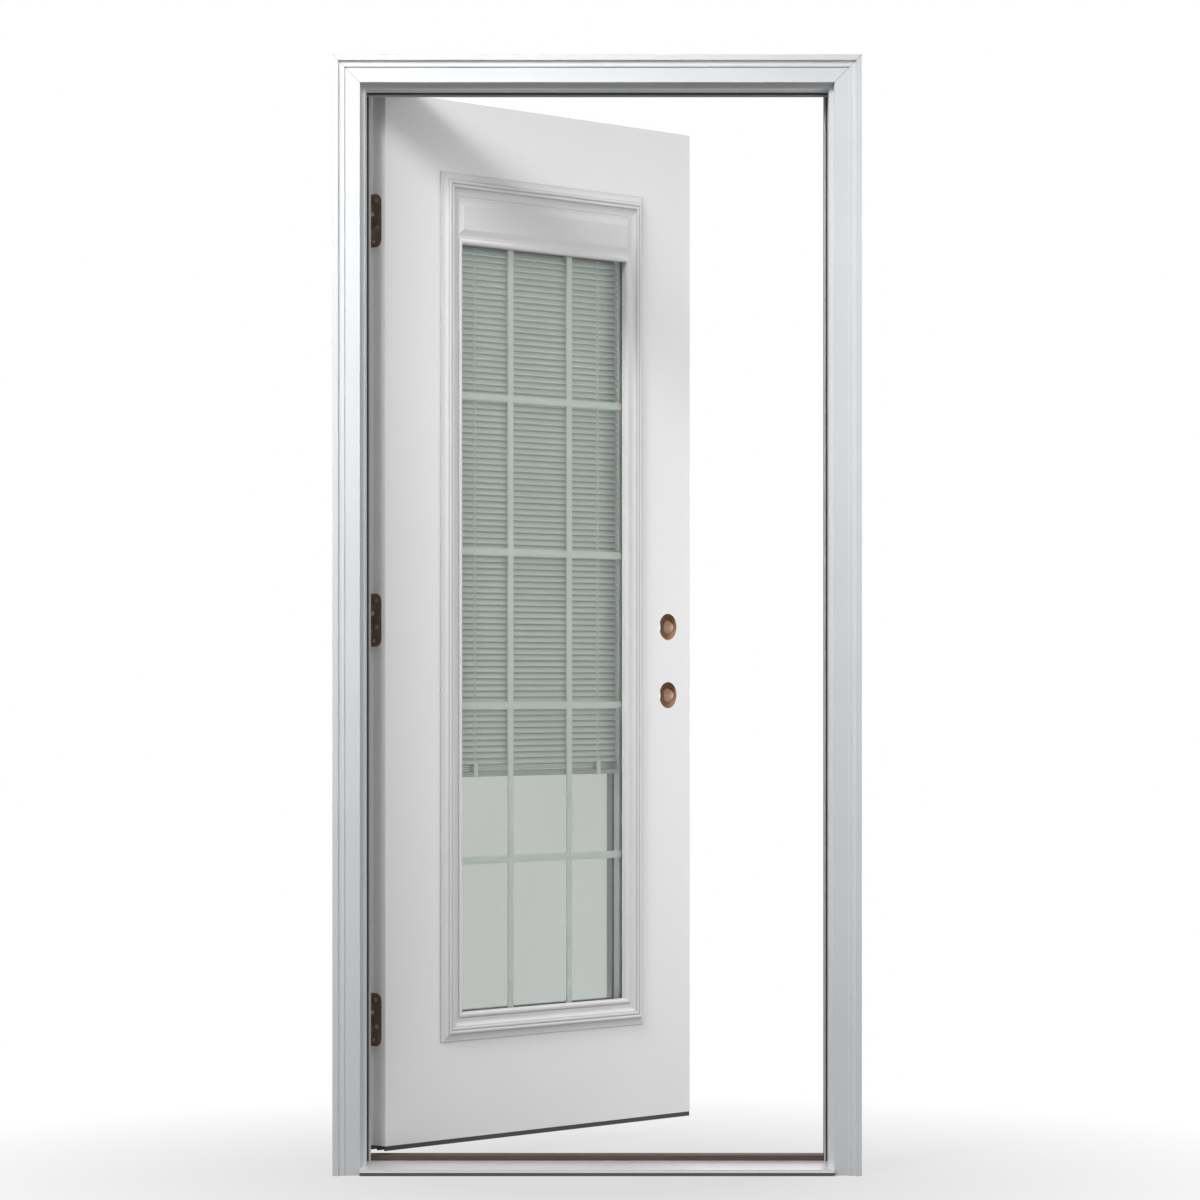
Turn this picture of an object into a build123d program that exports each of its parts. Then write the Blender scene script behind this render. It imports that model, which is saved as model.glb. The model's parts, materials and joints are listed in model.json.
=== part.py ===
from build123d import *
import math
import os

# A prehung, inward-opening steel entrance door with a full glass lite.
# X runs along the wall with the hinges at -X, Y runs from outdoors to indoors, and Z is up.
# The origin is on the sill's underside, midway between the jambs, in the plane of the wall's outer face.

# Door leaf
slab_width = 889.0
slab_height = 2009.0
slab_thickness = 44.5
slab_bottom = 42.0
skin_thickness = 0.6
skin_return = 12.0
bevel_angle = 3.0
stile_width = 27.0
rail_height = 38.0
rest_open_angle = 48.0

# Frame round the leaf
edge_gap = 5.0
jamb_depth = 115.9
jamb_thickness = 19.0
stop_thickness = 12.7
stop_to_leaf = 11.5
seal_thickness = 6.4
seal_bulb_lip = 3.6
seal_fin_lip = 7.5
seal_fin_thickness = 1.5
seal_fin_gap = 1.1

# Brickmould casing
casing_width = 50.8
casing_depth = 31.75
casing_reveal = 8.7
casing_band = 10.3
casing_cove = 18.5
casing_cove_floor = 3.4
casing_cove_waist = 2.2
casing_cove_belly = 4.6
casing_fillet = 24.0
casing_fillet_run = 2.0
casing_flat_depth = 22.5

# Sill
nose_height = 12.0
deck_back_height = 17.9
deck_thickness = 1.5
nose_groove_height = 2.4
nose_groove_depth = 3.0
nose_lip_height = 3.4
sill_rib_height = 24.0
sill_rib_width = 5.0
cap_top = 28.0
cap_lead = 3.9
cap_chamfer = 2.0
cap_fit = 0.3
sweep_clearance = 5.0
sweep_inset = 1.0
sweep_wall = 2.2

# Hinges
hinge_length = 101.6
hinge_from_top = 244.5
hinge_from_bottom = 240.0
leaf_thickness = 2.5
leaf_setback = 11.0
leaf_corner = 15.9
pin_offset = 12.7
pin_radius = 3.175
pin_clearance = 0.05
pin_head_radius = 4.8
pin_head_height = 2.4
knuckle_count = 5
knuckle_gap = 0.3

# Lock preparation
bore_radius = 27.0
edge_bore_radius = 12.7
backset = 70.0
lower_bore_height = 857.0
bore_spacing = 139.7
lock_block_width = 90.0
lock_block_height = 330.0
strike_plate_height = 57.0
strike_plate_width = 28.5
strike_plate_depth = 1.6
strike_pocket_height = 27.0
strike_pocket_width = 19.0
strike_pocket_wall = 5.0

# Lite
lite_side_margin = 149.5
lite_from_top = 139.0
lite_from_bottom = 188.0
header_height = 81.0
cutout_margin = 12.0
glass_margin = 26.0
glass_thickness = 3.2
glass_depth = 5.5
unit_thickness = 28.6
spacer_sight = 18.0
header_plate = 3.0
header_panel_rise = 4.0
header_bevel = 11.7
header_panel_inset = 6.5

# Lite frame's moulding, measured inward from its outer edge and up from the leaf's face
moulding_width = 45.0
moulding_wall = 3.0
moulding_rise = 13.0
lip_height = 3.0
lip_width = 4.0
lip_chamfer = 1.0
cyma_middle = 10.5
cyma_sag = 2.6
first_reed_start = 14.5
first_reed_crest = 18.0
first_reed_shoulder = 3.0
reed_valley = 22.0
reed_valley_drop = 2.0
second_reed_crest = 25.5
second_reed_drop = 0.6
cove_start = 29.0
cove_start_drop = 2.4
cove_middle = 32.0
cove_middle_drop = 6.4
cove_margin = 5.0
hollow_start = 9.0
hollow_slope = 2.0
hollow_shelf_start = 17.0
hollow_shelf_end = 27.0
hollow_end = 31.0
bead_width = 11.0
bead_base = 5.0
bead_rise = 8.5
bead_crest = 5.0
bead_drop = 2.0

# Grille between the panes
grille_columns = 3
grille_rows = 5
grille_width = 14.5
grille_depth = 6.0
grille_crown = 7.0
grille_edge = 1.6
grille_from_pane = 0.5
grille_reach_down = 10.0

# Blind between the panes
slat_width = 12.5
slat_thickness = 0.5
slat_end_gap = 22.0
slat_pitch = 12.0
slat_tilt = 72.0
first_slat_height = 7.2
blind_drop = 1034.0
stack_height = 15.0
stack_pitch = 0.95
rail_size = 9.0
ladder_inset = 56.0
ladder_width = 1.6
ladder_thickness = 0.5
ladder_gap = 0.25
headrail_height = 42.0
headrail_lift = 6.0
headrail_depth = 13.5
headrail_wall = 1.2
track_thickness = 2.0
track_depth = 11.0
slider_width = 9.0
slider_depth = 8.0
slider_height = 46.0

# Places that follow from those sizes
slab_top = slab_bottom + slab_height
outside_face = jamb_depth - slab_thickness
rabbet_half = slab_width / 2 + edge_gap
stop_half = rabbet_half - stop_thickness
frame_half = rabbet_half + jamb_thickness
stop_depth = outside_face - stop_to_leaf
cap_front = outside_face - cap_lead
head_rabbet = slab_top + edge_gap
head_stop = head_rabbet - stop_thickness
frame_top = head_rabbet + jamb_thickness
casing_inner = stop_half + casing_reveal
casing_outer = casing_inner + casing_width
casing_top = head_stop + casing_reveal + casing_width
pin_x = -rabbet_half + edge_gap / 2
pin_y = jamb_depth + pin_offset
barrel_radius = edge_gap / 2 + leaf_thickness
leaf_length = slab_thickness - leaf_setback
hinge_heights = {
    "top": slab_top - hinge_from_top,
    "middle": (slab_top - hinge_from_top + slab_bottom + hinge_from_bottom) / 2,
    "bottom": slab_bottom + hinge_from_bottom,
}
hinge_edge = -slab_width / 2
lock_edge = slab_width / 2
bevel_run = slab_thickness * math.tan(math.radians(bevel_angle))
bore_x = lock_edge - backset
bore_heights = (slab_bottom + lower_bore_height, slab_bottom + lower_bore_height + bore_spacing)
lite_width = slab_width - 2 * lite_side_margin
lite_height = slab_height - lite_from_top - lite_from_bottom
lite_centre = slab_top - lite_from_top - lite_height / 2
frame_margin = moulding_width + bead_width
daylight_width = lite_width - 2 * frame_margin
daylight_height = lite_height - 2 * frame_margin - header_height
daylight_centre = lite_centre - header_height / 2
daylight_top = daylight_centre + daylight_height / 2
unit_width = lite_width - 2 * glass_margin
unit_height = lite_height - 2 * glass_margin
outer_pane_face = outside_face + glass_depth
inner_pane_face = outer_pane_face + unit_thickness
space_front = outer_pane_face + glass_thickness
space_back = inner_pane_face - glass_thickness
sight_width = daylight_width + 2 * spacer_sight
sight_bottom = daylight_centre - daylight_height / 2 - spacer_sight
spacer_width = (unit_width - sight_width) / 2
sight_top = lite_centre + unit_height / 2 - spacer_width
slat_length = sight_width - 2 * slat_end_gap
ladder_half_spacing = slat_length / 2 - ladder_inset
grille_back = space_front + grille_from_pane + grille_depth
slat_plane = (grille_back + space_back) / 2
blind_bottom = daylight_top - blind_drop
headrail_bottom = daylight_top + headrail_lift


STANDING = (Align.CENTER, Align.CENTER, Align.MIN)


def block(x0, x1, y0, y1, z0, z1):
    """A box between two corners."""
    return Pos(x0, y0, z0) * Box(x1 - x0, y1 - y0, z1 - z0, align=(Align.MIN, Align.MIN, Align.MIN))


def upright(outline, z0, z1):
    """A plan outline raised from one height to another."""
    return extrude(Pos(0, 0, z0) * make_face(outline), amount=z1 - z0, dir=(0, 0, 1))


def across(outline, x0, x1):
    """A section in Y and Z carried along X."""
    face = Plane.YZ.offset(x0) * make_face(outline)
    return extrude(face, amount=x1 - x0, dir=(1, 0, 0))


def closed(*points):
    """A closed outline of straight edges."""
    return Polyline(*points, close=True)


def mirrored_x(shape):
    return mirror(shape, about=Plane.YZ)


def mitred_bar(section, side, width, height, reach):
    """One side of a rectangular surround, cut at 45 degrees at both ends.

    The section's first coordinate runs inward from the surround's outer edge and its second runs
    towards -Y. The surround is centred on the origin in the XZ plane.
    """
    half_w = width / 2
    half_h = height / 2
    places = {
        "right": (Plane((half_w, 0, -half_h), x_dir=(-1, 0, 0), z_dir=(0, 0, 1)), height),
        "left": (Plane((-half_w, 0, half_h), x_dir=(1, 0, 0), z_dir=(0, 0, -1)), height),
        "top": (Plane((half_w, 0, half_h), x_dir=(0, 0, -1), z_dir=(-1, 0, 0)), width),
        "bottom": (Plane((-half_w, 0, -half_h), x_dir=(0, 0, 1), z_dir=(1, 0, 0)), width),
    }
    plane, length = places[side]
    bar = extrude(plane * section, amount=length, dir=plane.z_dir)
    near_w = half_w - reach
    near_h = half_h - reach
    corners = {
        "right": ((half_w, half_h), (half_w, -half_h), (near_w, -near_h), (near_w, near_h)),
        "left": ((-half_w, half_h), (-half_w, -half_h), (-near_w, -near_h), (-near_w, near_h)),
        "top": ((-half_w, half_h), (half_w, half_h), (near_w, near_h), (-near_w, near_h)),
        "bottom": ((-half_w, -half_h), (half_w, -half_h), (near_w, -near_h), (-near_w, -near_h)),
    }
    outline = Plane.XZ * make_face(closed(*corners[side]))
    wedge = extrude(outline, amount=4 * reach, dir=(0, 1, 0), both=True)
    return bar & wedge


def mitred_surround(section, width, height, reach):
    """All four sides of a rectangular surround as one piece."""
    sides = [mitred_bar(section, side, width, height, reach) for side in ("left", "top", "right", "bottom")]
    return sides[0] + sides[1] + sides[2] + sides[3]


def jamb_outline():
    """Plan of the strike jamb, with its stop and its rabbet."""
    return closed(
        (stop_half, 0),
        (stop_half, stop_depth),
        (rabbet_half, stop_depth),
        (rabbet_half, jamb_depth),
        (frame_half, jamb_depth),
        (frame_half, 0),
    )


def deck_height(y):
    """Height of the sloping deck at a distance into the wall."""
    share = (y + casing_depth) / (cap_front + casing_depth)
    return nose_height + share * (deck_back_height - nose_height)


def sill_space():
    """The room that the sill takes under the jambs and between the casings."""
    section = closed(
        (-casing_depth, 0),
        (-casing_depth, nose_height),
        (cap_front, deck_back_height),
        (cap_front, deck_back_height - deck_thickness),
        (jamb_depth - sill_rib_width, deck_back_height - deck_thickness),
        (jamb_depth - sill_rib_width, sill_rib_height),
        (jamb_depth, sill_rib_height),
        (jamb_depth, 0),
    )
    return across(section, -frame_half, frame_half)


def notch_for_casing(piece):
    """Cut the sill back to the casings' inner edges in front of the wall."""
    for side in (-1, 1):
        low = min(side * casing_inner, side * frame_half)
        high = max(side * casing_inner, side * frame_half)
        piece = piece - block(low, high, -casing_depth, 0, 0, sill_rib_height)
    return piece


def make_sill():
    """The composite base, the aluminium deck over it and the adjustable cap."""
    front = -casing_depth
    lip_top = nose_height - nose_groove_height
    lip_low = lip_top - nose_lip_height
    back = front + nose_groove_depth
    deck = across(
        closed(
            (front, nose_height),
            (cap_front, deck_back_height),
            (cap_front, deck_back_height - deck_thickness),
            (back + deck_thickness, deck_height(back + deck_thickness) - deck_thickness),
            (back + deck_thickness, lip_low),
            (front, lip_low),
            (front, lip_top),
            (back, lip_top),
            (back, deck_height(back) - deck_thickness),
            (front, nose_height - deck_thickness),
        ),
        -frame_half,
        frame_half,
    )
    deck = notch_for_casing(deck)
    base = notch_for_casing(sill_space())
    groove = across(
        closed((front, lip_low), (front, nose_height), (back, nose_height), (back, lip_low)),
        -frame_half,
        frame_half,
    )
    base = base - groove - deck
    cap_back = jamb_depth - sill_rib_width
    cap_low = deck_back_height - deck_thickness
    cap = across(
        closed(
            (cap_front, cap_low),
            (cap_front, cap_top - cap_chamfer),
            (cap_front + cap_chamfer, cap_top),
            (cap_back - cap_chamfer, cap_top),
            (cap_back, cap_top - cap_chamfer),
            (cap_back, cap_low),
        ),
        cap_fit - rabbet_half,
        rabbet_half - cap_fit,
    )
    return {"sill_base": base, "sill_deck": deck, "threshold_cap": cap}


def strike_mortises():
    """Shallow seats for the strike plates in the jamb's rabbet, each with a pocket for its bolt."""
    bolt_y = outside_face + slab_thickness / 2
    pocket_depth = jamb_thickness - strike_pocket_wall
    tools = []
    for height in bore_heights:
        for width, tall, deep in (
            (strike_plate_width, strike_plate_height, strike_plate_depth),
            (strike_pocket_width, strike_pocket_height, pocket_depth),
        ):
            corner = Pos(rabbet_half, bolt_y, height)
            tools.append(corner * Box(deep, width, tall, align=(Align.MIN, Align.CENTER, Align.CENTER)))
    return tools


def make_jambs():
    """Both side jambs on the sill, with the head jamb over them."""
    head = across(
        closed(
            (0, head_stop),
            (stop_depth, head_stop),
            (stop_depth, head_rabbet),
            (jamb_depth, head_rabbet),
            (jamb_depth, frame_top),
            (0, frame_top),
        ),
        -frame_half,
        frame_half,
    )
    strike = upright(jamb_outline(), 0, frame_top) - head - sill_space()
    hinge = mirrored_x(strike)
    for height in hinge_heights.values():
        hinge = hinge - jamb_leaf_plate(height)
    for tool in strike_mortises():
        strike = strike - tool
    return {"hinge_jamb": hinge, "strike_jamb": strike, "head_jamb": head}


def casing_section():
    """The brickmould's section: a square band, a cove, a fillet and a wide flat."""
    floor = casing_flat_depth + casing_cove_floor
    line = Polyline((0, 0), (0, casing_depth), (casing_band, casing_depth))
    line += ThreePointArc(
        (casing_band, casing_depth),
        (casing_band + casing_cove_waist, casing_flat_depth + casing_cove_belly),
        (casing_cove, floor),
    )
    line += Polyline(
        (casing_cove, floor),
        (casing_fillet - casing_fillet_run, floor),
        (casing_fillet, casing_flat_depth),
        (casing_width, casing_flat_depth),
        (casing_width, 0),
        (0, 0),
    )
    return make_face(line)


def make_casings():
    """Three lengths of brickmould, mitred at the top corners."""
    section = casing_section()
    bars = {}
    for side, name in (("left", "hinge_side"), ("right", "strike_side"), ("top", "head")):
        bar = mitred_bar(section, side, 2 * casing_outer, 2 * casing_top, casing_width)
        above = block(-casing_outer, casing_outer, -casing_depth, 0, 0, casing_top)
        bars["brickmould_" + name] = bar & above
    return bars


def seal_section(corner, edge):
    """A compression seal from the rabbet's corner to its fin, with a bulb in front of the fin.

    The first coordinate runs across the wall and the second runs indoors from the stop.
    """
    towards = math.copysign(1.0, edge - corner)
    bulb = edge + towards * seal_bulb_lip
    fin = edge + towards * seal_fin_lip
    fin_front = seal_thickness - seal_fin_thickness
    bulb_back = fin_front - seal_fin_gap
    bulb_round = bulb_back / 2
    line = Polyline((corner, 0), (bulb - towards * bulb_round, 0))
    line += ThreePointArc(
        (bulb - towards * bulb_round, 0),
        (bulb, bulb_round),
        (bulb - towards * bulb_round, bulb_back),
    )
    line += Polyline(
        (bulb - towards * bulb_round, bulb_back),
        (edge, bulb_back),
        (edge, fin_front),
        (fin, fin_front),
        (fin, seal_thickness),
        (corner, seal_thickness),
        (corner, 0),
    )
    return make_face(line)


def make_seals():
    """Compression seals on the stops' indoor faces, standing out past the stops into the opening."""
    foot = deck_height(stop_depth + seal_thickness)
    face_up = Plane((0, stop_depth, foot), x_dir=(1, 0, 0), z_dir=(0, 0, 1))
    strike_height = head_stop - seal_fin_lip - foot
    strike = extrude(face_up * seal_section(rabbet_half, stop_half), amount=strike_height, dir=(0, 0, 1))
    face_in = Plane((-rabbet_half, stop_depth, 0), x_dir=(0, 0, 1), z_dir=(-1, 0, 0))
    head = extrude(face_in * seal_section(head_rabbet, head_stop), amount=2 * rabbet_half, dir=(1, 0, 0))
    return {
        "weatherstrip_strike_side": strike,
        "weatherstrip_hinge_side": mirrored_x(strike),
        "weatherstrip_head": head,
    }


def leaf_outline():
    """A hinge leaf in Y and Z, round at the two corners away from the pin."""
    half = hinge_length / 2
    far = jamb_depth - leaf_length
    round_off = leaf_corner * (1 - math.sqrt(0.5))
    line = Polyline(
        (far + leaf_corner, half),
        (jamb_depth, half),
        (jamb_depth, -half),
        (far + leaf_corner, -half),
    )
    line += ThreePointArc(
        (far + leaf_corner, -half),
        (far + round_off, round_off - half),
        (far, leaf_corner - half),
    )
    line += Line((far, leaf_corner - half), (far, half - leaf_corner))
    line += ThreePointArc(
        (far, half - leaf_corner),
        (far + round_off, half - round_off),
        (far + leaf_corner, half),
    )
    return line


def jamb_leaf_plate(height):
    return Pos(0, 0, height) * across(leaf_outline(), -rabbet_half - leaf_thickness, -rabbet_half)


def door_leaf_plate(height):
    return Pos(0, 0, height) * across(leaf_outline(), hinge_edge, hinge_edge + leaf_thickness)


def knuckle(index, height, x0):
    """One knuckle of the barrel with the strip that joins it to its leaf."""
    length = (hinge_length - (knuckle_count - 1) * knuckle_gap) / knuckle_count
    low = height - hinge_length / 2 + index * (length + knuckle_gap)
    foot = Pos(pin_x, pin_y, low)
    barrel = foot * Cylinder(barrel_radius, length, align=STANDING)
    strip = block(x0, x0 + leaf_thickness, jamb_depth, pin_y, low, low + length)
    hole = foot * Cylinder(pin_radius + pin_clearance, length, align=STANDING)
    return barrel + strip - hole


def hinge_half(height, plate, x0, first):
    leaf = plate
    for index in range(first, knuckle_count, 2):
        leaf = leaf + knuckle(index, height, x0)
    return leaf


def hinge_pin(height):
    """The loose pin, with a flat button above and below the barrel."""
    low = height - hinge_length / 2
    button = Cylinder(pin_head_radius, pin_head_height, align=STANDING)
    shaft = Pos(pin_x, pin_y, low) * Cylinder(pin_radius, hinge_length, align=STANDING)
    foot = Pos(pin_x, pin_y, low - pin_head_height) * button
    head = Pos(pin_x, pin_y, low + hinge_length) * button
    return shaft + foot + head


def make_fixed_hinges():
    pieces = {}
    for name, height in hinge_heights.items():
        plate = jamb_leaf_plate(height)
        pieces["jamb_hinge_leaf_" + name] = hinge_half(height, plate, -rabbet_half - leaf_thickness, 0)
        pieces["hinge_pin_" + name] = hinge_pin(height)
    return pieces


def make_door_hinges():
    pieces = {}
    for name, height in hinge_heights.items():
        pieces["door_hinge_leaf_" + name] = hinge_half(height, door_leaf_plate(height), hinge_edge, 1)
    return pieces


def slab_outline(inset):
    """Plan of the leaf, bevelled at the lock edge, drawn in from every side by the inset."""
    return closed(
        (hinge_edge + inset, outside_face + inset),
        (hinge_edge + inset, jamb_depth - inset),
        (lock_edge - inset, jamb_depth - inset),
        (lock_edge - bevel_run - inset, outside_face + inset),
    )


def lock_cuts():
    """The two cross bores and the two edge bores as one tool."""
    tools = []
    for height in bore_heights:
        tools.append(
            Pos(bore_x, outside_face, height)
            * Rot(-90, 0, 0)
            * Cylinder(bore_radius, slab_thickness, align=STANDING)
        )
        tools.append(
            Pos(bore_x, outside_face + slab_thickness / 2, height)
            * Rot(0, 90, 0)
            * Cylinder(edge_bore_radius, 2 * backset, align=STANDING)
        )
    return tools


def lite_cut():
    half_w = lite_width / 2 - cutout_margin
    half_h = lite_height / 2 - cutout_margin
    return block(-half_w, half_w, outside_face, jamb_depth, lite_centre - half_h, lite_centre + half_h)


def make_slab():
    """Steel skins with returned edges over stiles, rails, a lock block and a foam core."""
    whole = upright(slab_outline(0), slab_bottom, slab_top)
    inner = upright(slab_outline(skin_thickness), slab_bottom, slab_top)
    shell = whole - inner - lite_cut()
    y0 = outside_face
    y1 = jamb_depth
    outer_band = block(hinge_edge, lock_edge, y0, y0 + skin_return, slab_bottom, slab_top)
    inner_band = block(hinge_edge, lock_edge, y1 - skin_return, y1, slab_bottom, slab_top)
    pieces = {
        "steel_skin_exterior": shell & outer_band,
        "steel_skin_interior": shell & inner_band,
    }
    hinge_in = hinge_edge + stile_width
    lock_in = lock_edge - stile_width
    low = slab_bottom + rail_height
    high = slab_top - rail_height
    pieces["hinge_stile"] = inner & block(hinge_edge, hinge_in, y0, y1, slab_bottom, slab_top)
    pieces["lock_stile"] = inner & block(lock_in, lock_edge, y0, y1, slab_bottom, slab_top)
    pieces["bottom_rail"] = inner & block(hinge_in, lock_in, y0, y1, slab_bottom, low)
    pieces["top_rail"] = inner & block(hinge_in, lock_in, y0, y1, high, slab_top)
    bore_middle = sum(bore_heights) / 2
    lock_block = inner & block(
        lock_in - lock_block_width,
        lock_in,
        y0,
        y1,
        bore_middle - lock_block_height / 2,
        bore_middle + lock_block_height / 2,
    )
    pieces["foam_core"] = (inner & block(hinge_in, lock_in, y0, y1, low, high)) - lite_cut() - lock_block
    pieces["lock_block"] = lock_block
    for height in hinge_heights.values():
        for name in ("steel_skin_exterior", "steel_skin_interior", "hinge_stile"):
            pieces[name] = pieces[name] - door_leaf_plate(height)
    for name in ("steel_skin_exterior", "steel_skin_interior", "lock_stile", "lock_block"):
        for tool in lock_cuts():
            pieces[name] = pieces[name] - tool
    return pieces


def moulding_section(reach_in):
    """The lite frame's outer moulding: a lip, a cyma, two reeds and a cove, over a hollow back."""
    rise = moulding_rise
    width = moulding_width
    shelf = rise - 2.0 * moulding_wall
    line = Polyline(
        (0, 0),
        (0, lip_height - lip_chamfer),
        (lip_chamfer, lip_height),
        (lip_width, lip_height),
    )
    line += ThreePointArc(
        (lip_width, lip_height),
        (cyma_middle, lip_height + cyma_sag),
        (first_reed_start, rise - first_reed_shoulder),
    )
    line += ThreePointArc(
        (first_reed_start, rise - first_reed_shoulder),
        (first_reed_crest, rise),
        (reed_valley, rise - reed_valley_drop),
    )
    line += ThreePointArc(
        (reed_valley, rise - reed_valley_drop),
        (second_reed_crest, rise - second_reed_drop),
        (cove_start, rise - cove_start_drop),
    )
    line += ThreePointArc(
        (cove_start, rise - cove_start_drop),
        (cove_middle, rise - cove_middle_drop),
        (width - cove_margin, bead_base),
    )
    line += Polyline(
        (width - cove_margin, bead_base),
        (width, bead_base),
        (width, -reach_in),
        (width - moulding_wall, -reach_in),
        (width - moulding_wall, bead_base - moulding_wall),
        (hollow_end, bead_base - moulding_wall),
        (hollow_shelf_end, shelf),
        (hollow_shelf_start, shelf),
        (hollow_start + hollow_slope, lip_chamfer),
        (hollow_start, 0),
        (0, 0),
    )
    return make_face(line)


def bead_section(reach_in):
    """The rounded glazing bead next to the glass."""
    line = Polyline((0, -reach_in), (0, bead_base))
    line += ThreePointArc((0, bead_base), (bead_crest, bead_rise), (bead_width, bead_base - bead_drop))
    line += Polyline((bead_width, bead_base - bead_drop), (bead_width, -reach_in), (0, -reach_in))
    return make_face(line)


def lite_frame(reach_in):
    """A moulded lite frame on the plane Y = 0, facing -Y, with its back towards the glass."""
    moulding = mitred_surround(moulding_section(reach_in), lite_width, lite_height, moulding_width)
    bead = mitred_surround(
        bead_section(reach_in),
        daylight_width + 2 * bead_width,
        daylight_height + 2 * bead_width,
        bead_width,
    )
    return Pos(0, 0, lite_centre) * moulding + Pos(0, 0, daylight_centre) * bead


def header_cover():
    """The raised and bevelled panel between the moulding and the bead at the head of the lite."""
    half_w = lite_width / 2 - moulding_width
    high = lite_centre + lite_height / 2 - moulding_width
    low = high - header_height
    plate = block(-half_w, half_w, -bead_base, header_plate - bead_base, low, high)
    middle = (low + high) / 2
    base_w = 2 * half_w - 2 * cap_fit
    base_h = header_height - 2 * header_panel_inset
    facing = Plane((0, -bead_base, middle), x_dir=(1, 0, 0), z_dir=(0, -1, 0))
    base = facing * Rectangle(base_w, base_h)
    crown = Rectangle(base_w - 2 * header_bevel, base_h - 2 * header_bevel)
    return plate + loft([base, facing.offset(header_panel_rise) * crown])


def to_inside(shape):
    """Turn a piece made for the outdoor face round to the indoor face."""
    return Pos(0, jamb_depth, 0) * mirror(shape, about=Plane.XZ)


def make_lite():
    """Both moulded frames, the header covers, and the sealed glass unit with its spacer."""
    inner_reach = jamb_depth - inner_pane_face
    half_w = unit_width / 2
    low = lite_centre - unit_height / 2
    high = lite_centre + unit_height / 2
    spacer = block(-half_w, half_w, space_front, space_back, low, high)
    sight_half = sight_width / 2
    spacer = spacer - block(-sight_half, sight_half, space_front, space_back, sight_bottom, sight_top)
    return {
        "lite_frame_exterior": Pos(0, outside_face, 0) * lite_frame(glass_depth),
        "lite_frame_interior": to_inside(lite_frame(inner_reach)),
        "header_cover_exterior": Pos(0, outside_face, 0) * header_cover(),
        "header_cover_interior": to_inside(header_cover()),
        "glass_outer": block(-half_w, half_w, outer_pane_face, space_front, low, high),
        "glass_inner": block(-half_w, half_w, space_back, inner_pane_face, low, high),
        "glass_spacer": spacer,
    }


def grille_outline():
    """The contoured section of a grille bar, with a crown on both faces."""
    half_w = grille_width / 2
    half_d = grille_depth / 2
    half_c = grille_crown / 2
    half_e = grille_edge / 2
    return closed(
        (-half_w, -half_e),
        (-half_c, -half_d),
        (half_c, -half_d),
        (half_w, -half_e),
        (half_w, half_e),
        (half_c, half_d),
        (-half_c, half_d),
        (-half_w, half_e),
    )


def make_grille():
    """Upright and level bars fused where they cross, from spacer to spacer."""
    y = grille_back - grille_depth / 2
    field_low = daylight_centre - daylight_height / 2 - grille_reach_down
    field_height = daylight_height + 2 * grille_reach_down
    grille = None
    for column in range(1, grille_columns):
        x = -sight_width / 2 + column * sight_width / grille_columns
        bar = Pos(x, y, 0) * upright(grille_outline(), sight_bottom, headrail_bottom)
        grille = bar if grille is None else grille + bar
    for row in range(1, grille_rows):
        z = field_low + row * field_height / grille_rows
        start = Plane((-sight_width / 2, y, z), x_dir=(0, 0, 1), z_dir=(1, 0, 0))
        section = start * make_face(grille_outline())
        grille = grille + extrude(section, amount=sight_width, dir=(1, 0, 0))
    return {"grille": grille}


def ladder_reach():
    """Distance of each ladder cord from the slats' middle plane."""
    tilt = math.radians(slat_tilt)
    return (slat_width * math.cos(tilt) + slat_thickness * math.sin(tilt)) / 2 + ladder_gap


def make_slats(rail_top, stack_top):
    """Tilted slats on the ladders, and the spare ones lying flat in a stack on the bottom rail."""
    slat = Box(slat_length, slat_width, slat_thickness)
    room = headrail_bottom - stack_top - first_slat_height - slat_width / 2
    tilted_count = math.floor(room / slat_pitch) + 1
    stacked_count = math.floor(stack_height / stack_pitch)
    slats = []
    for index in range(tilted_count):
        z = stack_top + first_slat_height + slat_pitch * index
        slats.append(Pos(0, slat_plane, z) * Rot(slat_tilt, 0, 0) * slat)
    for index in range(stacked_count):
        z = rail_top + stack_pitch * (index + 0.5)
        slats.append(Pos(0, slat_plane, z) * slat)
    return slats


def make_ladders(stack_top):
    """Two pairs of ladder cords from the headrail down to the stack of spare slats."""
    cords = []
    for side in (-1, 1):
        x = side * ladder_half_spacing
        for face in (-1, 1):
            near = slat_plane + face * ladder_reach()
            far = near + face * ladder_thickness
            front = min(near, far)
            back = max(near, far)
            cords.append(
                block(x - ladder_width / 2, x + ladder_width / 2, front, back, stack_top, headrail_bottom)
            )
    return cords


def make_blind():
    """The lowered blind: headrail, tilted slats, the stack of spare slats, rail, cords and control."""
    half = slat_length / 2
    rail_top = blind_bottom + rail_size
    stack_top = rail_top + stack_height
    slats = make_slats(rail_top, stack_top)
    cords = make_ladders(stack_top)
    rail_front = slat_plane - slat_width / 2
    rail = block(-half, half, rail_front, rail_front + slat_width, blind_bottom, rail_top)
    back = slat_plane + headrail_depth / 2
    front = slat_plane - headrail_depth / 2
    headrail = block(
        -sight_width / 2, sight_width / 2, front, back, headrail_bottom, headrail_bottom + headrail_height
    )
    headrail = headrail - block(
        -sight_width / 2,
        sight_width / 2,
        front + headrail_wall,
        back - headrail_wall,
        headrail_bottom + headrail_wall,
        headrail_bottom + headrail_height,
    )
    track_out = daylight_width / 2
    track_face = track_out - track_thickness
    track_low = daylight_centre - daylight_height / 2
    track_back = inner_pane_face + track_depth
    track = block(track_face, track_out, inner_pane_face, track_back, track_low, daylight_top)
    slider = block(
        track_face - slider_width,
        track_face,
        track_back - slider_depth,
        track_back,
        daylight_centre - slider_height / 2,
        daylight_centre + slider_height / 2,
    )
    return {
        "blind_headrail": headrail,
        "blind_slats": Compound(children=slats),
        "blind_bottom_rail": rail,
        "blind_ladder_cords": Compound(children=cords),
        "blind_operator_track": track,
        "blind_operator_slider": slider,
    }


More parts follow.
